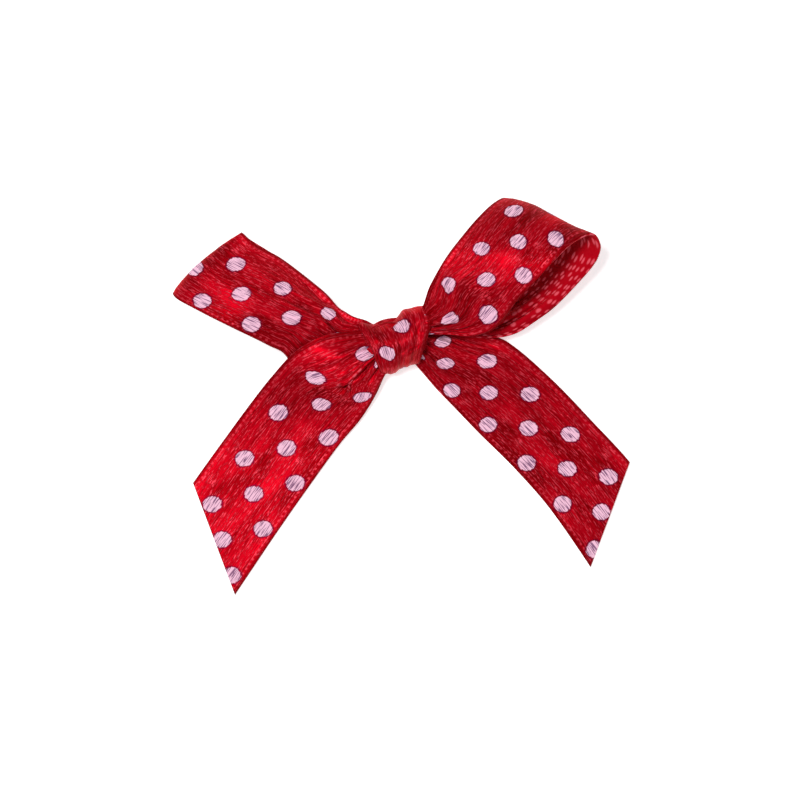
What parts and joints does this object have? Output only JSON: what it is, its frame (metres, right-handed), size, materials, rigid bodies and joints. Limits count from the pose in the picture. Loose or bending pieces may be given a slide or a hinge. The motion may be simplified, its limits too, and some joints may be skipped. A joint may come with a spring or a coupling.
{
  "type": "ribbon bow",
  "caption": "Small hand-tied bow of printed satin ribbon, with two loops, two slant-cut tails and a wrapped knot.",
  "frame": {"origin": "under the middle of the knot, on the surface that the bow lies on", "axes": "+X to the right across the bow's face, +Y up the bow towards its loops, +Z out of its face"},
  "size_m": [0.05, 0.0423, 0.0099],
  "materials": {
    "printed_satin": "red satin with pale pink printed dots",
    "gathered_satin": "red satin, tightly pleated"
  },
  "bodies": {
    "knot": {"knot_wrap": "gathered_satin", "knot_core": "gathered_satin", "left_loop_root": "printed_satin", "right_tail_root": "printed_satin"},
    "left_loop": {"left_loop": "printed_satin"},
    "left_tail": {"left_tail": "printed_satin"},
    "right_loop": {"right_loop": "printed_satin"},
    "right_tail": {"right_tail": "printed_satin"}
  },
  "joints": [
    {"name": "left_loop_lift", "type": "hinge", "parent": "knot", "child": "left_loop", "pos_m": [-0.01093, 0.00458, 0.0035], "axis": [0.3907, 0.9205, 0], "range_deg": [0, 50]},
    {"name": "left_tail_lift", "type": "hinge", "parent": "knot", "child": "left_tail", "pos_m": [-0.00355, -0.00161, 0.0037], "axis": [-0.7771, 0.6293, 0], "range_deg": [0, 50]},
    {"name": "right_loop_lift", "type": "hinge", "parent": "knot", "child": "right_loop", "pos_m": [0.00344, 0.00181, 0.0042], "axis": [0.682, -0.7314, 0], "range_deg": [0, 40]},
    {"name": "right_tail_lift", "type": "hinge", "parent": "knot", "child": "right_tail", "pos_m": [0.00786, -0.00505, 0.0005], "axis": [-0.6884, -0.7254, 0], "range_deg": [0, 60]}
  ]
}
